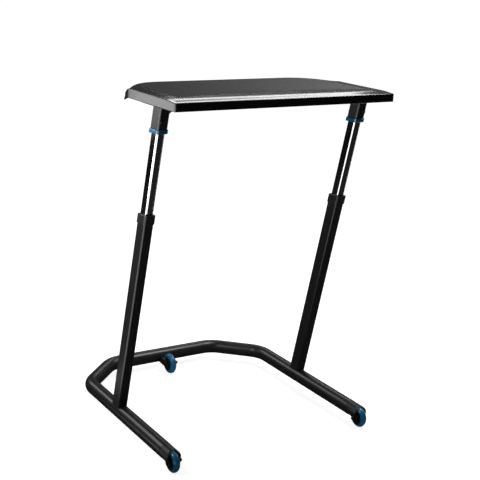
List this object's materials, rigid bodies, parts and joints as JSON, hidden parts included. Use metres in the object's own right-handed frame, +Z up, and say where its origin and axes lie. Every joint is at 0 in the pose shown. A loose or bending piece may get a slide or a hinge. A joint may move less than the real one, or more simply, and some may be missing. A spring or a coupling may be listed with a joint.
{
  "type": "bike trainer desk",
  "caption": "Height-adjustable desk with a shaped black top on two forward-leaning telescopic legs, rising from a U-shaped tube base that rolls on blue wheels.",
  "frame": {"origin": "on the floor, in the middle of the footprint", "axes": "+Z up, +X to the rider's right, -Y towards the rider, who faces +Y; the base is open towards -Y"},
  "size_m": [0.807, 0.85, 1.1827],
  "materials": {
    "steel_black": "satin black powder coat",
    "plastic_black": "moulded black plastic",
    "steel_bare": "bare drawn steel",
    "chrome": "polished chrome plate",
    "zinc": "zinc plated",
    "bolt_black": "black oxide steel",
    "collar_blue": "glossy blue",
    "tread_blue": "translucent-looking blue polyurethane",
    "board_black": "black laminate over board, with a smooth satin edge",
    "mat_grey": "fine matt grip surface"
  },
  "bodies": {
    "base": {"base_tube": "steel_black", "front_fork_left": "plastic_black", "axle_bolt_front_left": "bolt_black", "axle_nut_front_left": "bolt_black", "front_fork_right": "plastic_black", "axle_bolt_front_right": "bolt_black", "axle_nut_front_right": "bolt_black", "rear_bracket": "steel_black", "axle_bolt_rear": "bolt_black", "axle_nut_rear": "bolt_black", "leg_socket_left": "steel_bare", "leg_tube_left": "steel_black", "leg_bolt_left": "bolt_black", "leg_nut_left": "bolt_black", "leg_collar_left": "plastic_black", "leg_collar_screw_left": "bolt_black", "leg_socket_right": "steel_bare", "leg_tube_right": "steel_black", "leg_bolt_right": "bolt_black", "leg_nut_right": "bolt_black", "leg_collar_right": "plastic_black", "leg_collar_screw_right": "bolt_black"},
    "wheel_front_left": {"wheel_tyre_front_left": "tread_blue", "wheel_hub_front_left": "plastic_black"},
    "wheel_front_right": {"wheel_tyre_front_right": "tread_blue", "wheel_hub_front_right": "plastic_black"},
    "wheel_rear": {"wheel_tyre_rear": "tread_blue", "wheel_hub_rear": "plastic_black"},
    "desk": {"inner_tube_left": "chrome", "guide_shoe_left": "plastic_black", "spring_seat_left": "plastic_black", "return_spring_left": "zinc", "upper_sleeve_left": "steel_black", "sleeve_bolt_left": "bolt_black", "sleeve_nut_left": "bolt_black", "inner_tube_right": "chrome", "guide_shoe_right": "plastic_black", "spring_seat_right": "plastic_black", "return_spring_right": "zinc", "upper_sleeve_right": "steel_black", "sleeve_bolt_right": "bolt_black", "sleeve_nut_right": "bolt_black", "top_plate_left": "steel_black", "plate_screw_left_1": "zinc", "plate_screw_left_2": "zinc", "plate_screw_left_3": "zinc", "top_plate_right": "steel_black", "plate_screw_right_1": "zinc", "plate_screw_right_2": "zinc", "plate_screw_right_3": "zinc", "cross_beam": "steel_black", "desk_top": "board_black", "surface_mat": "mat_grey"},
    "release_left": {"release_collar_left": "collar_blue", "collar_pin_left": "zinc", "pull_rod_left": "zinc"},
    "release_right": {"release_collar_right": "collar_blue", "collar_pin_right": "zinc", "pull_rod_right": "zinc"}
  },
  "joints": [
    {"name": "desk_height", "type": "slide", "parent": "base", "child": "desk", "axis": [0, -0.2409, 0.9705], "range_m": [-0.268, 0.047]},
    {"name": "release_left", "type": "slide", "parent": "desk", "child": "release_left", "axis": [0, -0.2409, 0.9705], "range_m": [0, 0.004], "stiffness_N_per_m": 1500, "springref_m": -0.008, "deforming": ["return_spring_left"]},
    {"name": "release_right", "type": "slide", "parent": "desk", "child": "release_right", "axis": [0, -0.2409, 0.9705], "range_m": [0, 0.004], "stiffness_N_per_m": 1500, "springref_m": -0.008, "deforming": ["return_spring_right"]},
    {"name": "wheel_front_left", "type": "hinge", "parent": "base", "child": "wheel_front_left", "pos_m": [-0.371, -0.389, 0.036], "axis": [1, 0, 0], "continuous": true},
    {"name": "wheel_front_right", "type": "hinge", "parent": "base", "child": "wheel_front_right", "pos_m": [0.371, -0.389, 0.036], "axis": [1, 0, 0], "continuous": true},
    {"name": "wheel_rear", "type": "hinge", "parent": "base", "child": "wheel_rear", "pos_m": [0, 0.3306, 0.039], "axis": [1, 0, 0], "continuous": true}
  ]
}
